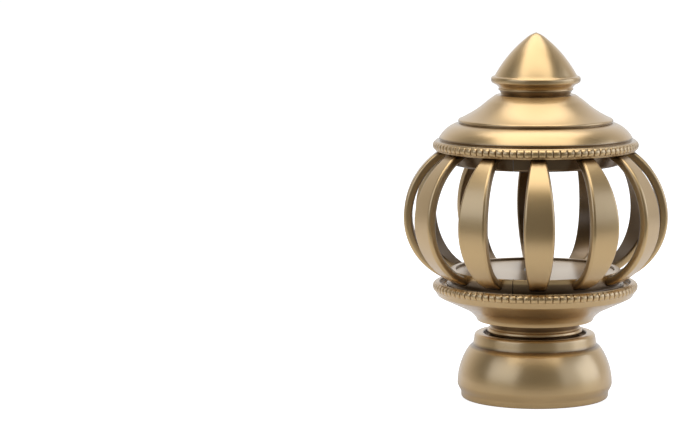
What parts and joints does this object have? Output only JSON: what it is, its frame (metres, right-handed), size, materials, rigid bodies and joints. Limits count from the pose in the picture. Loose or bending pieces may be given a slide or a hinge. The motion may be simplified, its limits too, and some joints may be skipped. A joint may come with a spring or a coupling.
{
  "type": "curtain pole finial",
  "caption": "Brass curtain pole finial: a round foot that slips over the pole's end, beaded dish, open cage of bowed ribs, stepped beaded roof and pointed tip.",
  "frame": {"origin": "centre of the foot's open end, where it meets the pole side", "axes": "+Z along the finial's axis from the foot to the tip, -Y towards the viewer"},
  "size_m": [0.0668, 0.0668, 0.0931],
  "materials": {
    "satin_brass": "satin, lacquered",
    "zinc_steel": "bright zinc plate"
  },
  "bodies": {
    "root": {"foot": "satin_brass", "saucer": "satin_brass", "lower_ring": "satin_brass", "floor_plate": "satin_brass", "cage": "satin_brass", "upper_ring": "satin_brass", "roof": "satin_brass", "tip": "satin_brass", "stud": "zinc_steel", "tip_washer": "zinc_steel", "tip_nut": "zinc_steel"}
  },
  "joints": []
}
